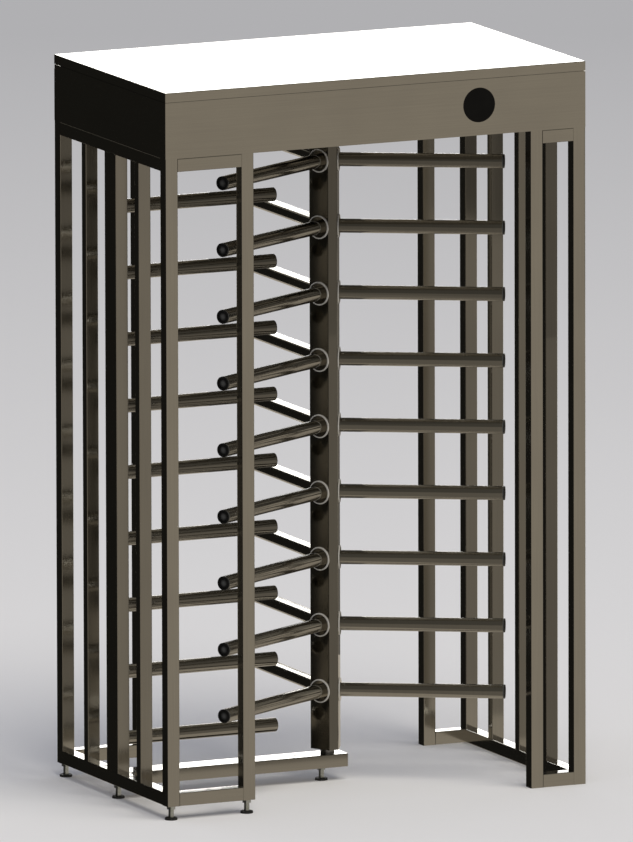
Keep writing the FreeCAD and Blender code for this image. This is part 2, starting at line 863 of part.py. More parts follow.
def make_header_floor():
    plate = block(-skin_inner_x, skin_inner_x, -skin_inner_y, skin_inner_y, header_bottom, floor_top)
    plate = plate.cut(upright(housing_shaft_hole, rotor_x, rotor_y, header_bottom, floor_top))
    plate = plate.cut(upright(cable_hole_diameter / 2, cable_x, cable_y, header_bottom, floor_top))
    bolts = []
    for x, y in frame_bolt_places() + housing_bolt_places():
        plate = plate.cut(upright(header_bolt_radius + thread_gap, x, y, header_bottom, floor_top))
    for x, y in frame_bolt_places():
        bolts.append(header_bolt(x, y, floor_top))
    for x, y in housing_bolt_places():
        bolts.append(header_bolt(x, y, floor_top + housing_flange))
    save("header_floor", [plate])
    save("header_bolts", bolts)
    lip = cable_hole_diameter / 2 + grommet_lip
    grommet_bottom = header_bottom - grommet_lip
    grommet_top = floor_top + grommet_lip
    grommet = upright(lip, cable_x, cable_y, grommet_bottom, header_bottom)
    grommet = grommet.fuse(upright(cable_hole_diameter / 2, cable_x, cable_y, header_bottom, floor_top))
    grommet = grommet.fuse(upright(lip, cable_x, cable_y, floor_top, grommet_top))
    bore = upright(cable_bore_diameter / 2, cable_x, cable_y, grommet_bottom, grommet_top)
    save("cable_grommet", [grommet.cut(bore)])


indicator_z = overall_height - indicator_drop


def indicator_pieces(face):
    """Lens, bezel and LED board of one indicator; face is -1 at the front and 1 at the rear."""
    x = -face * indicator_side
    outer_y = face * half_depth
    radius = indicator_diameter / 2

    def disc(r, depth_a, depth_b):
        return rod(r, (x, outer_y - face * depth_a, indicator_z), (x, outer_y - face * depth_b, indicator_z))

    lens = disc(radius - lens_gap, 0.0, lens_thickness)
    back = lens_thickness + bezel_depth
    bezel = disc(radius + bezel_overlap, sheet, back).cut(disc(radius, sheet, lens_thickness))
    opening = radius - bezel_step
    bezel = bezel.cut(disc(opening, lens_thickness, back))
    board = disc(opening + led_board_overlap, back, back + led_board_thickness)
    for lamp in range(led_count):
        turn = math.radians(360 / led_count * lamp)
        lamp_x = x + (opening - led_board_overlap - led_radius) * math.cos(turn)
        lamp_z = indicator_z + (opening - led_board_overlap - led_radius) * math.sin(turn)
        front = (lamp_x, outer_y - face * (back - led_radius), lamp_z)
        board = board.fuse(rod(led_radius, front, (lamp_x, outer_y - face * back, lamp_z)))
    hole = disc(radius, 0.0, sheet)
    return lens, bezel, board, hole


def make_panels():
    lenses = []
    bezels = []
    boards = []
    holes = {}
    for face in (-1, 1):
        lens, bezel, board, hole = indicator_pieces(face)
        lenses.append(lens)
        bezels.append(bezel)
        boards.append(board)
        holes[face] = hole
    save("indicator_lenses", lenses)
    save("indicator_bezels", bezels)
    save("indicator_boards", boards)
    front = block(-half_width, half_width, -half_depth, -skin_inner_y, header_bottom, panel_top)
    save("header_front_panel", [front.cut(holes[-1])])
    rear_top = hinge_z - hinge_channel
    shelf_y = half_depth - sheet - flange_width
    rear = block(-half_width, half_width, skin_inner_y, half_depth, header_bottom, rear_top)
    rear = rear.fuse(block(-skin_inner_x, skin_inner_x, shelf_y, skin_inner_y, rear_top - sheet, rear_top))
    rear = rear.fuse(block(-skin_inner_x, skin_inner_x, shelf_y, shelf_y + sheet, rear_top, landing_top))
    save("header_rear_panel", [rear.removeSplitter().cut(holes[1])])
    ends = []
    for side in (-1, 1):
        end = block(
            side * skin_inner_x, side * half_width, -skin_inner_y, skin_inner_y, header_bottom, panel_top,
        )
        channel_end = block(
            side * (skin_inner_x - hinge_channel_end), side * skin_inner_x,
            shelf_y + sheet, half_depth, rear_top, hinge_z + hinge_channel_end_rise,
        )
        ends.append(end.fuse(channel_end))
    save("header_end_panels", ends)


def make_landings():
    """Angles inside the panels that the lid's seal lies on, and the keeper for the lid's lock."""
    shelf_y = half_depth - sheet - flange_width
    leg_z = landing_top - landing_leg
    plate_z = landing_top - sheet
    front_in = -skin_inner_y + flange_width
    front = block(-skin_inner_x, skin_inner_x, -skin_inner_y, -skin_inner_y + sheet, leg_z, landing_top)
    front = front.fuse(block(-skin_inner_x, skin_inner_x, -skin_inner_y, front_in, plate_z, landing_top))
    rear_in = shelf_y - flange_width
    rear_reach = skin_inner_x - flange_width
    rear = block(-rear_reach, rear_reach, shelf_y - sheet, shelf_y, leg_z, landing_top)
    rear = rear.fuse(block(-rear_reach, rear_reach, rear_in, shelf_y, plate_z, landing_top))
    pieces = [front.removeSplitter(), rear.removeSplitter()]
    lock_y = -half_depth + lock_from_front
    for side in (-1, 1):
        end_in = side * (skin_inner_x - flange_width)
        end = block(side * (skin_inner_x - sheet), side * skin_inner_x, front_in, shelf_y, leg_z, landing_top)
        end = end.fuse(block(end_in, side * skin_inner_x, front_in, shelf_y, plate_z, landing_top))
        if side > 0:
            end = end.fuse(keeper(end_in, lock_y))
        pieces.append(end.removeSplitter())
    save("lid_landings", pieces)
    seal_top = lid_bottom - seal_gap
    inset = (flange_width - seal_width) / 2
    seals = [
        block(-rear_reach, rear_reach, -skin_inner_y + inset, -skin_inner_y + inset + seal_width,
              landing_top, seal_top),
        block(-rear_reach, rear_reach, rear_in + inset, rear_in + inset + seal_width, landing_top, seal_top),
    ]
    for side in (-1, 1):
        seal_x = side * (skin_inner_x - inset)
        seals.append(block(
            seal_x, seal_x - side * seal_width, front_in, rear_in, landing_top, seal_top,
        ))
    save("lid_seal", seals)


lock_z = lid_bottom + lid_lip / 2


def keeper(inner_x, lock_y):
    """An upstand with a tab that the lock's cam turns under."""
    tab_z = lock_z + lock_cam_width / 2 + keeper_gap
    far_y = lock_y - lock_cam_length - keeper_gap - keeper_plate
    near_y = far_y + keeper_plate
    low_x = half_width - lock_barrel_length - lock_cam_plate - keeper_width + keeper_plate
    upstand = block(low_x, inner_x - seal_gap, far_y, near_y, landing_top - sheet, tab_z + keeper_plate)
    upstand = upstand.fuse(block(low_x, inner_x, far_y, near_y, landing_top - sheet, landing_top))
    tab = block(low_x, low_x + keeper_width, near_y, near_y + keeper_overlap, tab_z, tab_z + keeper_plate)
    return upstand.fuse(tab)


def make_lid():
    lid = block(-half_width, half_width, -half_depth, half_depth, lid_bottom, overall_height)
    top = [e for e in lid.Edges if e.BoundBox.ZMin > overall_height - tolerance]
    lid = lid.makeFillet(lid_edge, top)
    lid = lid.cut(block(
        -skin_inner_x, skin_inner_x, -skin_inner_y, skin_inner_y, lid_bottom, overall_height - sheet,
    ))
    flange_top = lid_bottom + sheet
    inner_x = skin_inner_x - flange_width
    front_in = -skin_inner_y + flange_width
    rear_in = half_depth - sheet - rear_flange_width
    lid = lid.fuse(block(-skin_inner_x, skin_inner_x, -skin_inner_y, front_in, lid_bottom, flange_top))
    lid = lid.fuse(block(-skin_inner_x, skin_inner_x, rear_in, skin_inner_y, lid_bottom, flange_top))
    for side in (-1, 1):
        lid = lid.fuse(block(side * inner_x, side * skin_inner_x, front_in, rear_in, lid_bottom, flange_top))
    lid = lid.removeSplitter()
    lock_y = -half_depth + lock_from_front
    hole_radius = lock_barrel_radius + lock_face_gap
    hole = rod(hole_radius, (skin_inner_x, lock_y, lock_z), (half_width, lock_y, lock_z))
    save("header_lid", [lid.cut(hole)])
    make_lid_lock(lock_y)


def make_lid_lock(lock_y):
    inner = half_width - lock_barrel_length
    barrel = rod(lock_barrel_radius, (inner, lock_y, lock_z), (half_width, lock_y, lock_z))
    nut_x = skin_inner_x - lock_nut_length
    nut = rod(lock_barrel_radius + lock_nut_width, (nut_x, lock_y, lock_z), (skin_inner_x, lock_y, lock_z))
    barrel = barrel.fuse(nut)
    plug_hole = lock_plug_radius + running_gap
    barrel = barrel.cut(rod(plug_hole, (inner, lock_y, lock_z), (half_width, lock_y, lock_z)))
    save("lid_lock_barrel", [barrel])
    plug = rod(lock_plug_radius, (inner - lock_cam_plate, lock_y, lock_z), (half_width, lock_y, lock_z))
    plug = plug.cut(block(
        half_width - key_slot_depth, half_width,
        lock_y - key_slot_width / 2, lock_y + key_slot_width / 2,
        lock_z - key_slot_length / 2, lock_z + key_slot_length / 2,
    ))
    half = lock_cam_width / 2
    cam_x = inner - seal_gap
    cam = block(cam_x - lock_cam_plate, cam_x, lock_y - half, lock_y + half, lock_z - lock_cam_length, lock_z)
    cam = cam.fuse(rod(half, (cam_x - lock_cam_plate, lock_y, lock_z), (cam_x, lock_y, lock_z)))
    save("lid_lock_cam", [plug.fuse(cam)])


def make_hinges():
    fixed = []
    moving = []
    pins = []
    half_leaf = hinge_leaf / 2
    inner = hinge_knuckle / 2 + hinge_side_gap
    outer = inner + hinge_knuckle

    def bore(x0, x1, radius):
        return rod(radius, (x0, hinge_y, hinge_z), (x1, hinge_y, hinge_z))

    for x in (-hinge_spacing, 0.0, hinge_spacing):
        for side in (-1, 1):
            a = x + side * inner
            b = x + side * outer
            knuckle = bore(a, b, hinge_radius)
            knuckle = knuckle.fuse(block(
                a, b, hinge_y - half_leaf, hinge_y + half_leaf,
                hinge_z - hinge_channel, hinge_z - hinge_leaf_root,
            ))
            fixed.append(knuckle.cut(bore(a, b, hinge_pin_radius)))
        half = hinge_knuckle / 2
        knuckle = bore(x - half, x + half, hinge_radius)
        knuckle = knuckle.fuse(block(
            x - half, x + half, hinge_y - half_leaf, hinge_y + half_leaf,
            hinge_z + hinge_leaf_root, lid_bottom,
        ))
        moving.append(knuckle.cut(bore(x - half, x + half, hinge_pin_radius + running_gap)))
        pins.append(bore(x - outer, x + outer, hinge_pin_radius))
    save("hinge_fixed_knuckles", fixed)
    save("hinge_lid_knuckles", moving)
    save("hinge_pins", pins)


# ---- electrics ----

def make_electrics():
    x0 = rotor_x + controller_side
    x1 = x0 + controller_length
    y0 = -controller_width / 2
    y1 = controller_width / 2
    top = floor_top + controller_height
    case = block(x0, x1, y0, y1, floor_top, top)
    wall = controller_wall
    case = case.cut(block(x0 + wall, x1 - wall, y0 + wall, y1 - wall, floor_top + wall, top))
    stand_offs = []
    board_z = floor_top + board_rise
    for x in (x0 + stand_off_inset, x1 - stand_off_inset):
        for y in (y0 + stand_off_inset, y1 - stand_off_inset):
            stand_offs.append(upright(stand_off_radius, x, y, floor_top + wall, board_z))
    for stand in stand_offs:
        case = case.fuse(stand)
    save("controller_case", [case])
    cover = block(x0, x1, y0, y1, top, top + wall)
    cover = cover.fuse(block(x0 + wall, x1 - wall, y0 + wall, y1 - wall, top - wall, top))
    save("controller_cover", [cover.removeSplitter()])
    board = block(
        x0 + board_margin, x1 - board_margin, y0 + board_margin, y1 - board_margin,
        board_z, board_z + board_thickness,
    )
    for column in range(chip_columns):
        for row in range(chip_rows):
            x = x0 + chip_inset + column * controller_length / (chip_columns + 1)
            y = y0 + chip_inset + row * controller_width / (chip_rows + 1)
            size = chip_size + chip_size_step * ((column + row) % chip_sizes)
            chip_top = board_z + board_thickness + chip_height
            board = board.fuse(block(x, x + size, y, y + size, board_z + board_thickness, chip_top))
    save("control_board", [board])
    x1 = rotor_x - supply_side
    x0 = x1 - supply_length
    half = supply_width / 2
    supply = block(x0, x1, -half, half, floor_top, floor_top + supply_height)
    for slot in range(supply_slots):
        x = x0 + supply_length * (slot + 1) / (supply_slots + 1)
        supply = supply.cut(block(
            x, x + supply_slot_width, supply_slot_inset - half, half - supply_slot_inset,
            floor_top + supply_height - supply_slot_depth, floor_top + supply_height,
        ))
    save("power_supply", [supply])
    y0 = half + terminal_gap
    block_x = x0 + (supply_length - terminal_length) / 2
    terminal_top = floor_top + terminal_height
    terminal = block(block_x, block_x + terminal_length, y0, y0 + terminal_width, floor_top, terminal_top)
    for way in range(terminal_ways):
        x = block_x + terminal_length * (way + 0.5) / terminal_ways
        for row in range(terminal_rows):
            y = y0 + terminal_width * (row + 0.5) / terminal_rows
            terminal = terminal.cut(upright(
                terminal_screw_radius, x, y, terminal_top - terminal_screw_depth, terminal_top,
            ))
    save("terminal_block", [terminal])


os.makedirs("parts", exist_ok=True)
make_posts()
make_side_bars()
make_rails()
make_beam()
make_feet()
make_rotor_arms()
make_barrier_arms()
make_column()
make_bearing()
make_collar()
make_lock_wheel()
make_index_cam()
make_gears()
make_locks()
make_index_lever()
make_header_floor()
make_panels()
make_landings()
make_lid()
make_hinges()
make_electrics()
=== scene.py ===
import json
import math
import bpy
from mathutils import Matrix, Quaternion, Vector


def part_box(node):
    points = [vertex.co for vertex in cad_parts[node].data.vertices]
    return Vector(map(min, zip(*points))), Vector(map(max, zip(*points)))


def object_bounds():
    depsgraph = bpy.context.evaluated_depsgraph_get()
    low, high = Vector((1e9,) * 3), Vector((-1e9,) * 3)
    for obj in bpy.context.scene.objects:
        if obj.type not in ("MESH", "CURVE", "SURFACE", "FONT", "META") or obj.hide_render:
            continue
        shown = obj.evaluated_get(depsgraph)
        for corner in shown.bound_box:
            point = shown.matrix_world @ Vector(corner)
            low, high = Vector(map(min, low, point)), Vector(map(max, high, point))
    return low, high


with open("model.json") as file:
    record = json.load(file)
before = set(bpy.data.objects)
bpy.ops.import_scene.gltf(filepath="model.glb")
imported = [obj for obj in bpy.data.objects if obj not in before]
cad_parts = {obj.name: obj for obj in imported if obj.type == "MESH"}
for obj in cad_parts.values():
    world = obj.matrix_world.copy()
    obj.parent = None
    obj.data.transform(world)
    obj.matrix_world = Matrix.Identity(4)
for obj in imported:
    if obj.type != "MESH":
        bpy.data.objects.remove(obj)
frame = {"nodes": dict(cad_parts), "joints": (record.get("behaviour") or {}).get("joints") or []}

cadLow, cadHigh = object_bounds()
rotorAxis = Vector([j for j in frame["joints"] if j["name"] == "rotor_spin"][0]["pos_m"])
mm = 0.001                             # the frame is in metres, patterns are given in millimetres


def hexToLinear(text):
    # sRGB hex to the linear colour that shaders take
    parts = [int(text[i:i + 2], 16) / 255 for i in (1, 3, 5)]
    return [c / 12.92 if c <= 0.04045 else ((c + 0.055) / 1.055) ** 2.4 for c in parts] + [1.0]


def addNode(tree, kind, inputs=None, **settings):
    # one node with its settings; a socket given as an input is linked, anything else is a value
    node = tree.nodes.new(kind)
    for name, value in settings.items():
        setattr(node, name, value)
    for name, value in (inputs or {}).items():
        if isinstance(value, bpy.types.NodeSocket):
            tree.links.new(value, node.inputs[name])
        else:
            node.inputs[name].default_value = value
    return node


def startMaterial(name, metallic, roughness, **fixed):
    # a Principled shader whose constant values sit on its own sockets
    material = bpy.data.materials.new(name)
    material.use_nodes = True
    tree = material.node_tree
    shader = tree.nodes["Principled BSDF"]
    shader.inputs["Metallic"].default_value = metallic
    shader.inputs["Roughness"].default_value = roughness
    for socket, value in fixed.items():
        shader.inputs[socket.replace("_", " ")].default_value = value
    return material, tree, shader


def rampBetween(tree, factor, low, high, lowColour, highColour):
    ramp = addNode(tree, "ShaderNodeValToRGB", {"Fac": factor})
    ramp.color_ramp.elements[0].position = low
    ramp.color_ramp.elements[0].color = hexToLinear(lowColour)
    ramp.color_ramp.elements[1].position = high
    ramp.color_ramp.elements[1].color = hexToLinear(highColour)
    return ramp


def numberBetween(tree, factor, low, high):
    spread = addNode(tree, "ShaderNodeMapRange", {"Value": factor, "To Min": low, "To Max": high})
    return spread.outputs["Result"]


def dress(material, *nodes):
    # the CAD shapes stay as they are, only their slots change
    for name in nodes:
        slots = frame["nodes"][name].data.materials
        if len(slots) == 0:
            slots.append(material)
        for i in range(len(slots)):
            slots[i] = material


# stainless steel: the frames, the header and the turning parts
stainless = {
    "colour": "#9D9A93",         # the plain grey of the steel itself
    "colourWorn": "#A4A199",     # where hands and cloths have polished it a little
    "roughness": (0.08, 0.14),   # fine satin, so posts still mirror the arms faintly
    "lineWidth": 2.4,            # mm; real lines are 0.35, too fine to show, so they are drawn coarser
    "lineLength": 180.0,         # mm, how far a line runs
    "lineDepth": 0.012,          # mm, relief of the brushing
    "handlingMark": 260.0,       # mm across
    "handlingShare": 0.55,       # how much of the mottling is handling marks, the rest is lines
}


railWidth = 40 * mm
sideRailsFrom = cadHigh.x - railWidth - mm   # side rails lie wholly outside this, with a millimetre to spare


def brushedStainless(name, along):
    # stainless steel, belt brushed one way: a satin shine whose fine lines stretch the reflections
    material, tree, shader = startMaterial(name, 1.0, 0.2)
    place = addNode(tree, "ShaderNodeTexCoord").outputs["Object"]
    across = 1 / (stainless["lineWidth"] * mm)
    ahead = 1 / (stainless["lineLength"] * mm)
    if along == "ring":
        # centreless ground tube: the lines go round it, so they change only with the way out from the axis
        fromAxis = addNode(tree, "ShaderNodeVectorMath", {0: place, 1: (rotorAxis.x, rotorAxis.y, 0)},
                           operation="SUBTRACT").outputs["Vector"]
        flat = addNode(tree, "ShaderNodeVectorMath", {0: fromAxis, 1: (1, 1, 0)},
                       operation="MULTIPLY").outputs["Vector"]
        reach = addNode(tree, "ShaderNodeVectorMath", {0: flat}, operation="LENGTH").outputs["Value"]
        height = addNode(tree, "ShaderNodeSeparateXYZ", {"Vector": place}).outputs["Z"]
        stretched = addNode(tree, "ShaderNodeCombineXYZ", {"X": reach, "Y": height}).outputs["Vector"]
        scales = (across, ahead, 1)
    else:
        stretched = place
        scales = {"x": (ahead, across, across), "y": (across, ahead, across),
                  "z": (across, across, ahead)}.get(along)
    if along == "rails":
        # side rails are brushed along Y and the short ones along X
        sideways = addNode(tree, "ShaderNodeSeparateXYZ", {"Vector": place}).outputs["X"]
        xAway = addNode(tree, "ShaderNodeMath", {0: sideways}, operation="ABSOLUTE").outputs["Value"]
        isSide = addNode(tree, "ShaderNodeMath", {0: xAway, 1: sideRailsFrom}, operation="GREATER_THAN")
        turned = addNode(tree, "ShaderNodeMix", {"Factor": isSide.outputs["Value"],
                                                 "A": (ahead, across, across),
                                                 "B": (across, ahead, across)}, data_type="VECTOR")
        mapped = addNode(tree, "ShaderNodeVectorMath", {0: place, 1: turned.outputs["Result"]},
                         operation="MULTIPLY").outputs["Vector"]
    else:
        mapped = addNode(tree, "ShaderNodeVectorMath", {0: stretched, 1: scales},
                         operation="MULTIPLY").outputs["Vector"]
    lines = addNode(tree, "ShaderNodeTexNoise", {"Vector": mapped, "Scale": 1.0, "Detail": 1.0,
                                                 "Roughness": 0.5})
    marks = addNode(tree, "ShaderNodeTexNoise", {"Vector": place,
                                                 "Scale": 1 / (stainless["handlingMark"] * mm),
                                                 "Detail": 2.0, "Roughness": 0.55})
    both = addNode(tree, "ShaderNodeMix", {"Factor": stainless["handlingShare"], "A": lines.outputs["Fac"],
                                           "B": marks.outputs["Fac"]}, data_type="FLOAT").outputs["Result"]
    ramp = rampBetween(tree, both, 0.35, 0.65, stainless["colour"], stainless["colourWorn"])
    tree.links.new(ramp.outputs["Color"], shader.inputs["Base Color"])
    low, high = stainless["roughness"]
    tree.links.new(numberBetween(tree, both, low, high), shader.inputs["Roughness"])
    relief = addNode(tree, "ShaderNodeBump", {"Height": lines.outputs["Fac"], "Strength": 0.2,
                                              "Distance": stainless["lineDepth"] * mm})
    tree.links.new(relief.outputs["Normal"], shader.inputs["Normal"])
    return material


print("stainless steel")
dress(brushedStainless("brushed stainless, upright", "z"),
      "corner_posts", "jamb_posts", "side_bars", "barrier_post", "column_tube")
dress(brushedStainless("brushed stainless, rails", "rails"), "bottom_rails", "top_rails")
dress(brushedStainless("brushed stainless, lengthwise", "x"),
      "base_beam", "barrier_arms", "barrier_arm_caps", "header_front_panel", "header_rear_panel",
      "header_lid", "header_floor", "hinge_fixed_knuckles", "hinge_lid_knuckles")
dress(brushedStainless("brushed stainless, crosswise", "y"), "header_end_panels")
dress(brushedStainless("ground stainless, ringed", "ring"), "rotor_arms")


# where the axes of the turning arms run, which stand in nine rows
armLow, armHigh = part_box("barrier_arms")
armRadius = (armHigh.y - armLow.y) / 2
armRows = 9
capLow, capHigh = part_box("rotor_arm_caps")
lowestArm = capLow.z + armRadius
armPitch = (capHigh.z - capLow.z - 2 * armRadius) / (armRows - 1)
armReach = capHigh.y
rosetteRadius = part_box("arm_rosettes")[1].z - capHigh.z + armRadius
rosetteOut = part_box("arm_rosettes")[1].y


def awayFromArm(tree, place, out):
    # how far a point is from its arm's axis, for points about this far out from the rotor's axis
    plan = addNode(tree, "ShaderNodeVectorMath", {0: place, 1: (rotorAxis.x, rotorAxis.y, 0)},
                   operation="SUBTRACT")
    flat = addNode(tree, "ShaderNodeVectorMath", {0: plan.outputs["Vector"], 1: (1, 1, 0)},
                   operation="MULTIPLY")
    square = addNode(tree, "ShaderNodeVectorMath", {0: flat.outputs["Vector"], 1: flat.outputs["Vector"]},
                     operation="DOT_PRODUCT")
    height = addNode(tree, "ShaderNodeSeparateXYZ", {"Vector": place}).outputs["Z"]
    above = addNode(tree, "ShaderNodeMath", {0: height, 1: lowestArm}, operation="SUBTRACT").outputs["Value"]
    rise = addNode(tree, "ShaderNodeMath", {0: above, 1: armPitch / 2, 2: -armPitch / 2}, operation="WRAP")
    riseSquare = addNode(tree, "ShaderNodeMath", {0: rise.outputs["Value"], 1: rise.outputs["Value"],
                                                  2: -out * out}, operation="MULTIPLY_ADD")
    total = addNode(tree, "ShaderNodeMath", {0: square.outputs["Value"], 1: riseSquare.outputs["Value"]})
    return addNode(tree, "ShaderNodeMath", {0: total.outputs["Value"]}, operation="SQRT").outputs["Value"]


# other metals: colour, second colour, lowest and highest roughness, size of the mottling in mm
metals = {
    # a bright mirror face, round which a pale ring is painted below as a highlight
    "polished stainless, painted highlight ring": ("#C9C4BA", "#B8B2A6", 0.05, 0.12, 18.0),
    # tool marks too fine to see one by one, so a soft grey shine
    "turned steel": ("#A3A4A6", "#8C8D90", 0.22, 0.34, 1.2),
    # finer than turning: cold and nearly mirror-like
    "ground bearing steel": ("#BDBEC2", "#ADAFB3", 0.08, 0.16, 2.0),
    # the oxide is thin and oily, so near black with a dull sheen
    "oil blackened steel": ("#3B3B3E", "#2A2A2D", 0.30, 0.46, 3.0),
    # a bluish white shine that has gone a little cloudy and yellow in spots
    "zinc plated steel": ("#B9BDC1", "#A1A79F", 0.24, 0.42, 6.0),
    # drawn wire, dark from its tempering, with an oily gleam
    "oiled spring steel": ("#5A5A5E", "#46464B", 0.26, 0.36, 1.5),
    # rolled sheet: pale, soft and slightly streaky
    "pressed aluminium": ("#C4C6C8", "#B2B4B7", 0.28, 0.40, 4.0),
    # plated over a smooth die casting: warm and bright
    "nickel plated zinc": ("#CDCAC2", "#BDB9B0", 0.12, 0.22, 3.0),
}
metalRelief = 0.004     # mm


def mottledMetal(name):
    # bare or plated metal: a clean reflection, broken by its own fine mottling
    colour, second, low, high, speck = metals[name]
    material, tree, shader = startMaterial(name, 1.0, (low + high) / 2)
    place = addNode(tree, "ShaderNodeTexCoord").outputs["Object"]
    grain = addNode(tree, "ShaderNodeTexNoise", {"Vector": place, "Scale": 1 / (speck * mm), "Detail": 4.0,
                                                 "Roughness": 0.6})
    ramp = rampBetween(tree, grain.outputs["Fac"], 0.35, 0.65, colour, second)
    tree.links.new(ramp.outputs["Color"], shader.inputs["Base Color"])
    tree.links.new(numberBetween(tree, grain.outputs["Fac"], low, high), shader.inputs["Roughness"])
    bump = addNode(tree, "ShaderNodeBump", {"Height": grain.outputs["Fac"], "Strength": 0.3,
                                            "Distance": metalRelief * mm})
    tree.links.new(bump.outputs["Normal"], shader.inputs["Normal"])
    return material


rosette = {
    "rim": "#DAD6CC",     # painted highlight: a pale ring that stands in for light caught at the rim
    "rimWidth": 1.3,      # mm
    "rimBlend": 0.6,      # mm over which the face turns into the rim
    "rimMetal": 0.3,      # lower than the face's, so that the painted highlight takes light from all sides
    "halfThickness": 2.0, # mm, back from the rosette's face to where the rim is measured
}


def rosetteSteelPaintedHighlight():
    # stainless steel, polished: a dark mirror inside a pale ring painted at the rim as a highlight
    material = mottledMetal("polished stainless, painted highlight ring")
    tree = material.node_tree
    shader = tree.nodes["Principled BSDF"]
    face = shader.inputs["Base Color"].links[0].from_socket
    place = addNode(tree, "ShaderNodeTexCoord").outputs["Object"]
    away = awayFromArm(tree, place, rosetteOut - rosette["halfThickness"] * mm)
    # painted highlight: the rim's colour is mixed to pale, standing in for light caught there
    rimFrom = rosetteRadius - rosette["rimWidth"] * mm
    rim = addNode(tree, "ShaderNodeMapRange", {"Value": away, "From Min": rimFrom - rosette["rimBlend"] * mm,
                                               "From Max": rimFrom})
    mixed = addNode(tree, "ShaderNodeMix", {"Factor": rim.outputs["Result"], "A": face,
                                            "B": hexToLinear(rosette["rim"])}, data_type="RGBA")
    tree.links.new(mixed.outputs["Result"], shader.inputs["Base Color"])
    metal = addNode(tree, "ShaderNodeMapRange", {"Value": rim.outputs["Result"], "To Min": 1.0,
                                                 "To Max": rosette["rimMetal"]})
    tree.links.new(metal.outputs["Result"], shader.inputs["Metallic"])
    return material


print("other metals")
dress(rosetteSteelPaintedHighlight(), "arm_rosettes")
dress(mottledMetal("turned steel"), "base_pivot", "column_foot", "rotor_shaft", "shaft_collar",
      "pivot_stands", "hinge_pins")
dress(mottledMetal("ground bearing steel"), "bearing_inner_ring", "bearing_outer_ring")
dress(mottledMetal("oil blackened steel"), "lock_wheel", "index_cam", "entry_pawl", "exit_pawl",
      "index_lever")
dress(mottledMetal("zinc plated steel"), "foot_studs", "header_bolts", "lid_landings", "entry_plunger",
      "exit_plunger")
dress(mottledMetal("oiled spring steel"), "return_springs")
dress(mottledMetal("pressed aluminium"), "power_supply", "damper_body")
dress(mottledMetal("nickel plated zinc"), "lid_lock_barrel", "lid_lock_cam")


# plastics, rubber and coats: colour, second colour, lowest and highest roughness, grain and its relief in mm
plastics = {
    # injection moulded: deep black with a soft waxy sheen
    "moulded nylon, black": ("#121211", "#1B1B1A", 0.28, 0.42, 0.9, 0.02),
    # undyed and machined: creamy, a little uneven and dull
    "machined nylon, natural": ("#DCD6C2", "#D2CBB4", 0.38, 0.52, 2.0, 0.01),
    # moulded in a spark-eroded tool: even and matt
    "moulded ABS, black": ("#161616", "#1E1E1E", 0.40, 0.52, 0.8, 0.02),
    "moulded ABS, grey": ("#8E9092", "#86888A", 0.42, 0.55, 0.8, 0.02),
    # cast and matted: an unlit lens that looks like a black hole in the steel
    "cast acrylic, smoked": ("#060606", "#0A0A09", 0.30, 0.40, 40.0, 0.0),
    # moulded, pale and flat
    "moulded polyamide, pale": ("#B7B6AC", "#ACABA0", 0.40, 0.50, 1.0, 0.01),
    # pressed in a plain mould: dull, greying where it is handled
    "moulded rubber, black": ("#171717", "#222221", 0.62, 0.80, 1.5, 0.05),
    # expanded, with open pores that swallow the light
    "foam rubber": ("#1C1C1B", "#2A2A29", 0.80, 0.92, 1.0, 0.10),
    # sprayed over sand casting: the skin below shows as a gentle orange peel
    "enamelled cast iron": ("#2E3238", "#363A40", 0.35, 0.50, 2.5, 0.08),
    # dipped in varnish: brown-black and half glossy
    "varnished coil and steel": ("#2A2622", "#393229", 0.30, 0.48, 1.2, 0.04),
}
plasticIor = 1.49
lensShine = 0.15        # the matted lens gives back less than clear acrylic


def mouldedPlastic(name):
    # moulded or coated: a soft sheen over a fine grain
    colour, second, low, high, grainSize, relief = plastics[name]
    material, tree, shader = startMaterial(name, 0.0, (low + high) / 2)
    shader.inputs["IOR"].default_value = plasticIor
    place = addNode(tree, "ShaderNodeTexCoord").outputs["Object"]
    grain = addNode(tree, "ShaderNodeTexNoise", {"Vector": place, "Scale": 1 / (grainSize * mm),
                                                 "Detail": 5.0, "Roughness": 0.6})
    ramp = rampBetween(tree, grain.outputs["Fac"], 0.38, 0.62, colour, second)
    tree.links.new(ramp.outputs["Color"], shader.inputs["Base Color"])
    tree.links.new(numberBetween(tree, grain.outputs["Fac"], low, high), shader.inputs["Roughness"])
    bump = addNode(tree, "ShaderNodeBump", {"Height": grain.outputs["Fac"], "Strength": 0.4,
                                            "Distance": relief * mm})
    tree.links.new(bump.outputs["Normal"], shader.inputs["Normal"])
    return material


armCap = {
    "dishHighlight": "#4E4E4B",       # painted highlight: the recessed face greyed where it catches light
    "dishRadius": 12.0,      # mm, where the greying ends
    "highlightCore": 0.3,             # share of that radius inside which the painted highlight is strongest
    "recess": 3.0,           # mm below the rim
}


def armCapNylonPaintedHighlight():
    # black nylon, moulded: a black ring round a grey middle, painted in the recessed face as a highlight
    material = mouldedPlastic("moulded nylon, black")
    tree = material.node_tree
    shader = tree.nodes["Principled BSDF"]
    black = shader.inputs["Base Color"].links[0].from_socket
    place = addNode(tree, "ShaderNodeTexCoord").outputs["Object"]
    away = awayFromArm(tree, place, armReach - armCap["recess"] * mm)
    edge = armCap["dishRadius"] * mm
    # painted highlight: grey mixed into the middle of each cap's face
    dishHighlight = addNode(tree, "ShaderNodeMapRange", {"Value": away, "From Min": edge,
                                                "From Max": edge * armCap["highlightCore"]})
    mixed = addNode(tree, "ShaderNodeMix", {"Factor": dishHighlight.outputs["Result"], "A": black,
                                            "B": hexToLinear(armCap["dishHighlight"])}, data_type="RGBA")
    tree.links.new(mixed.outputs["Result"], shader.inputs["Base Color"])
    return material


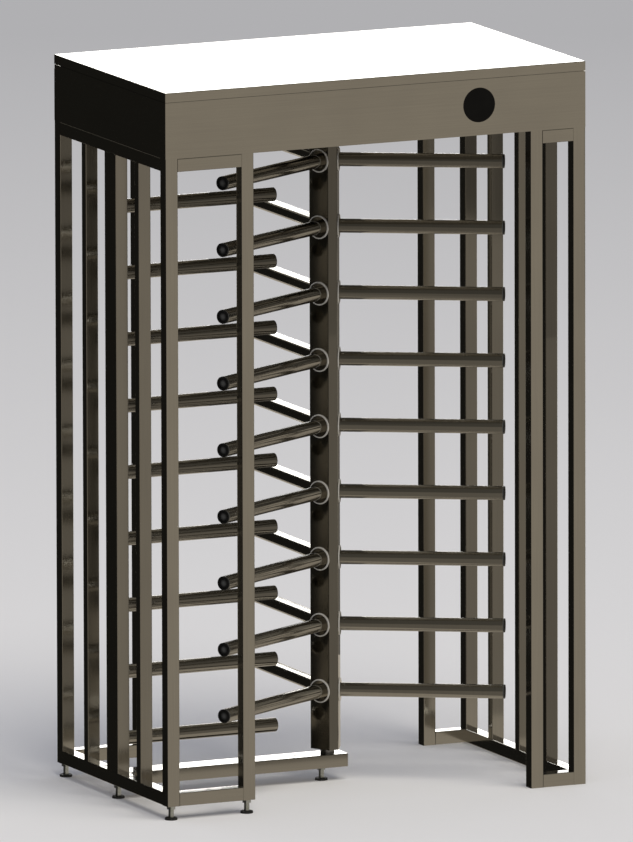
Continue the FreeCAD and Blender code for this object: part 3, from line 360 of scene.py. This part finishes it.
print("plastics and rubber")
dress(armCapNylonPaintedHighlight(), "rotor_arm_caps")
dress(mouldedPlastic("machined nylon, natural"), "drive_gear", "encoder_gear", "damper_gear", "index_roller")
dress(mouldedPlastic("moulded ABS, black"), "encoder_body", "indicator_bezels")
dress(mouldedPlastic("moulded ABS, grey"), "controller_case", "controller_cover")
lensMaterial = mouldedPlastic("cast acrylic, smoked")
lensMaterial.node_tree.nodes["Principled BSDF"].inputs["Specular IOR Level"].default_value = lensShine
dress(lensMaterial, "indicator_lenses")
dress(mouldedPlastic("moulded polyamide, pale"), "terminal_block")
dress(mouldedPlastic("moulded rubber, black"), "foot_pads", "cable_grommet")
dress(mouldedPlastic("foam rubber"), "lid_seal")
dress(mouldedPlastic("enamelled cast iron"), "bearing_housing")
dress(mouldedPlastic("varnished coil and steel"), "solenoid_bodies")


# circuit boards
boards = {
    "mask": "#0E4A26",      # green solder mask
    "copper": "#1C6A38",    # mask over copper reads lighter
    "part": "#1A1A1B",      # black component bodies
    "track": 2.2,           # mm between tracks
    "thickness": 1.6,       # mm of board
    "partFrom": 1.2,        # mm above the board's face where components begin
    "coat": 0.4,            # the mask's thin glossy layer
    "coatRoughness": 0.12,
}


def circuitBoard(name, boardTop):
    # etched and masked glass laminate: glossy green with lighter tracks, and black component bodies on it
    material, tree, shader = startMaterial(name, 0.0, 0.35, Coat_Weight=boards["coat"],
                                           Coat_Roughness=boards["coatRoughness"])
    place = addNode(tree, "ShaderNodeTexCoord").outputs["Object"]
    tracks = addNode(tree, "ShaderNodeTexBrick", {"Vector": place, "Scale": 1 / (boards["track"] * mm),
                                                  "Color1": hexToLinear(boards["mask"]),
                                                  "Color2": hexToLinear(boards["copper"]),
                                                  "Mortar": hexToLinear(boards["mask"]), "Mortar Size": 0.08,
                                                  "Brick Width": 6.0, "Row Height": 0.5})
    if boardTop is None:
        tree.links.new(tracks.outputs["Color"], shader.inputs["Base Color"])
        return material
    height = addNode(tree, "ShaderNodeSeparateXYZ", {"Vector": place}).outputs["Z"]
    isPart = addNode(tree, "ShaderNodeMath", {0: height, 1: boardTop + boards["partFrom"] * mm},
                     operation="GREATER_THAN").outputs["Value"]
    mixed = addNode(tree, "ShaderNodeMix", {"Factor": isPart, "A": tracks.outputs["Color"],
                                            "B": hexToLinear(boards["part"])}, data_type="RGBA")
    tree.links.new(mixed.outputs["Result"], shader.inputs["Base Color"])
    return material


print("circuit boards")
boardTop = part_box("control_board")[0].z + boards["thickness"] * mm
dress(circuitBoard("masked circuit board", boardTop), "control_board")
dress(circuitBoard("masked LED board", None), "indicator_boards")


# the studio: floor, lights, and the cards that metal is photographed with
studio = {
    "world": "#A9ACB8",          # cool fill from all round
    "tent": "#BCB3A5",           # the warm walls that only the steel mirrors
    "tentSize": 120.0,           # metres
    "sunFrom": (0.11, -0.48, 0.88),
    "sunAngle": 42.0,            # degrees across, a big soft source
    "sunPower": 1.69,
    "sunColour": "#FFFAF0",
    "boxGlow": 5.0,              # the boxes that turn level steel white
    "darkCard": "#23221F",       # what a black card still gives back
    "greyCard": "#8A857B",       # the ceiling and the wall behind the camera
}
floorPaper = {
    "near": "#E9E8E6",           # under the object, paler: painted light
    "far": "#BCBCBC",            # well behind it, darker: painted light falloff
    "nearest": 1.0,              # metres along the view where it begins to darken
    "farthest": 14.0,            # and where it is darkest
    "along": (0.42, 0.89, 0.0),  # the way the camera looks, over the floor
    "cloudScale": 0.8,           # soft uneven patches, per metre
    "cloudShare": 0.4,           # metres that a patch shifts the darkening
    "size": 200.0,               # metres
}
# name: place, target, width, height in metres
glowBoxes = {
    "lidBox": ((3.5, 7.6, 3.68), (0.0, 0.0, 2.2), 2.6, 0.62),       # seen in the lid's top
    "railBox": ((3.5, 7.6, 1.56), (0.0, 0.0, 0.08), 2.8, 0.6),      # seen in the tops of the bottom rails
    "wingBox": ((0.4, 7.6, 4.0), (0.02, 0.3, 1.1), 3.6, 2.8),       # seen along the rear wing of arms
}
# name: place, target, width, height in metres, tone, how much it lets through
cards = {
    "overheadCard": ((0, 0, 7.0), (0, 0, 0), 60.0, 60.0, "greyCard", 0.0),
    "frontCard": ((0, -6.6, 4.3), (0, 0, 4.3), 40.0, 5.4, "greyCard", 0.0),
    "rearLeftCard": ((-2.7, 4.6, 0.2), (-0.7, 0, 1.1), 5.0, 6.4, "darkCard", 0.0),
    "leftCard": ((-5.0, 0.0, 0.5), (0, 0, 0.5), 8.0, 6.0, "darkCard", 0.0),
    # thin veils just behind the front posts, which shade what stands further in
    "innerCard": ((0.14, -0.37, 0.65), (0.14, 1.0, 0.65), 1.28, 1.3, "darkCard", 0.44),
    "innerCardRight": ((1.04, -0.37, 1.0), (1.04, 1.0, 1.0), 0.52, 2.0, "darkCard", 0.58),
    "innerCardLeft": ((-0.59, -0.37, 1.0), (-0.59, 1.0, 1.0), 0.18, 2.0, "darkCard", 0.74),
    "innerCardTop": ((0.14, -0.37, 1.65), (0.14, 1.0, 1.65), 1.28, 0.7, "darkCard", 0.34),
    # keeps the highest arms dark, and the glow boxes off the front wing
    "rightCard": ((1.2, -0.37, 1.75), (0.0, -0.3, 1.75), 1.2, 0.7, "darkCard", 0.3),
    "armCard": ((-0.10, 0.03, 1.17), (-0.10, 1.0, 1.17), 0.5, 1.6, "darkCard", 0.25),
}


def makeFloor():
    # paper backdrop, rolled out and matt: pale, almost even, without reflections, with a painted light
    # falloff that darkens it away from the object along the view
    half = floorPaper["size"] / 2
    mesh = bpy.data.meshes.new("floor")
    corners = [(-half, -half, 0), (half, -half, 0), (half, half, 0), (-half, half, 0)]
    mesh.from_pydata(corners, [], [(0, 1, 2, 3)])
    floor = bpy.data.objects.new("floor", mesh)
    bpy.context.scene.collection.objects.link(floor)
    material, tree, shader = startMaterial("paper backdrop, painted falloff", 0.0, 0.95)
    shader.inputs["Specular IOR Level"].default_value = 0.0
    place = addNode(tree, "ShaderNodeTexCoord").outputs["Object"]
    away = addNode(tree, "ShaderNodeVectorMath", {0: place, 1: floorPaper["along"]}, operation="DOT_PRODUCT")
    cloud = addNode(tree, "ShaderNodeTexNoise", {"Vector": place, "Scale": floorPaper["cloudScale"],
                                                 "Detail": 3.0})
    uneven = addNode(tree, "ShaderNodeMath", {0: cloud.outputs["Fac"], 1: floorPaper["cloudShare"],
                                              2: away.outputs["Value"]}, operation="MULTIPLY_ADD")
    # painted light falloff: the paper's colour is paler near the object and darker far along the view
    paintedFalloff = addNode(tree, "ShaderNodeMapRange", {"Value": uneven.outputs["Value"],
                                                 "From Min": floorPaper["nearest"],
                                                 "From Max": floorPaper["farthest"]})
    ramp = rampBetween(tree, paintedFalloff.outputs["Result"], 0.0, 1.0, floorPaper["near"], floorPaper["far"])
    tree.links.new(ramp.outputs["Color"], shader.inputs["Base Color"])
    mesh.materials.append(material)
    floor.visible_glossy = False


def aim(thing, place, target, axis):
    thing.location = place
    thing.rotation_euler = (Vector(target) - Vector(place)).to_track_quat(axis, "Y").to_euler()
    bpy.context.scene.collection.objects.link(thing)


def addSun():
    light = bpy.data.lights.new("sun", "SUN")
    light.energy = studio["sunPower"]
    light.angle = math.radians(studio["sunAngle"])
    light.color = hexToLinear(studio["sunColour"])[:3]
    sun = bpy.data.objects.new("sun", light)
    aim(sun, studio["sunFrom"], (0, 0, 0), "-Z")
    sun.visible_glossy = False


def addGlowBox(name, place, target, width, height):
    # a light that only reflections see
    light = bpy.data.lights.new(name, "AREA")
    light.shape = "RECTANGLE"
    light.size, light.size_y = width, height
    light.energy = studio["boxGlow"] * width * height * math.pi
    box = bpy.data.objects.new(name, light)
    aim(box, place, target, "-Z")
    box.visible_camera = False
    box.visible_diffuse = False


def glowMaterial(name, tone, seeThrough):
    # woven cloth as a mirror sees it: one even tone, whatever light falls on it
    material, tree, shader = startMaterial(name, 0.0, 1.0)
    shader.inputs["Base Color"].default_value = (0, 0, 0, 1)
    shader.inputs["Specular IOR Level"].default_value = 0.0
    shader.inputs["Emission Color"].default_value = hexToLinear(tone)
    shader.inputs["Emission Strength"].default_value = 1.0
    shader.inputs["Alpha"].default_value = 1.0 - seeThrough
    material.cycles.emission_sampling = "NONE"
    return material


def onlyMirrored(thing):
    thing.visible_camera = False
    thing.visible_diffuse = False
    thing.visible_shadow = False
    thing.visible_transmission = False


def addCard(name, place, target, width, height, tone, seeThrough):
    # a card that only reflections see
    mesh = bpy.data.meshes.new(name)
    w, h = width / 2, height / 2
    mesh.from_pydata([(-w, -h, 0), (w, -h, 0), (w, h, 0), (-w, h, 0)], [], [(0, 1, 2, 3)])
    mesh.materials.append(glowMaterial("cloth over board, " + name, studio[tone], seeThrough))
    card = bpy.data.objects.new(name, mesh)
    aim(card, place, target, "Z")
    onlyMirrored(card)


def addTent():
    # six even walls round everything, also under the floor
    half = studio["tentSize"] / 2
    corners = [(x, y, z) for x in (-half, half) for y in (-half, half) for z in (-half, half)]
    walls = [(0, 1, 3, 2), (4, 6, 7, 5), (0, 4, 5, 1), (2, 3, 7, 6), (0, 2, 6, 4), (1, 5, 7, 3)]
    mesh = bpy.data.meshes.new("tent")
    mesh.from_pydata(corners, [], walls)
    mesh.materials.append(glowMaterial("tent cloth", studio["tent"], 0.0))
    tent = bpy.data.objects.new("tent", mesh)
    bpy.context.scene.collection.objects.link(tent)
    onlyMirrored(tent)


def makeStudio():
    world = bpy.data.worlds.new("studio")
    bpy.context.scene.world = world
    world.use_nodes = True
    background = world.node_tree.nodes["Background"]
    background.inputs["Color"].default_value = hexToLinear(studio["world"])
    background.inputs["Strength"].default_value = 1.0
    makeFloor()
    addTent()
    addSun()
    for name, box in glowBoxes.items():
        addGlowBox(name, *box)
    for name, card in cards.items():
        addCard(name, *card)


print("studio")
makeStudio()


# the camera: far away with a very long lens
camera = {
    "azimuth": -24.76,     # degrees, to the left of straight ahead
    "elevation": 10.04,    # degrees, looking down
    "roll": -0.145,        # degrees
    "lens": 1150.0,        # mm, so long that the view is all but parallel
    "sensor": 36.0,        # mm, on the tall side of the picture
    "seenHeight": 2.526,   # metres of the object's height that the picture takes in
    "clip": (1.0, 400.0),  # metres
    "target": (-0.0107, 0.0049, 1.0955),
}


def makeCamera():
    data = bpy.data.cameras.new("camera")
    data.lens = camera["lens"]
    data.sensor_width = camera["sensor"]
    data.clip_start, data.clip_end = camera["clip"]
    view = bpy.data.objects.new("camera", data)
    bpy.context.scene.collection.objects.link(view)
    turn, lift = math.radians(camera["azimuth"]), math.radians(camera["elevation"])
    back = Vector((math.sin(turn) * math.cos(lift), -math.cos(turn) * math.cos(lift), math.sin(lift)))
    distance = camera["seenHeight"] * camera["lens"] / camera["sensor"]
    view.location = Vector(camera["target"]) + back * distance
    view.rotation_mode = "QUATERNION"
    level = (-back).to_track_quat("-Z", "Y")
    view.rotation_quaternion = level @ Quaternion((0, 0, 1), math.radians(camera["roll"]))
    bpy.context.scene.camera = view


print("camera")
makeCamera()
bpy.context.scene.view_settings.view_transform = "Standard"
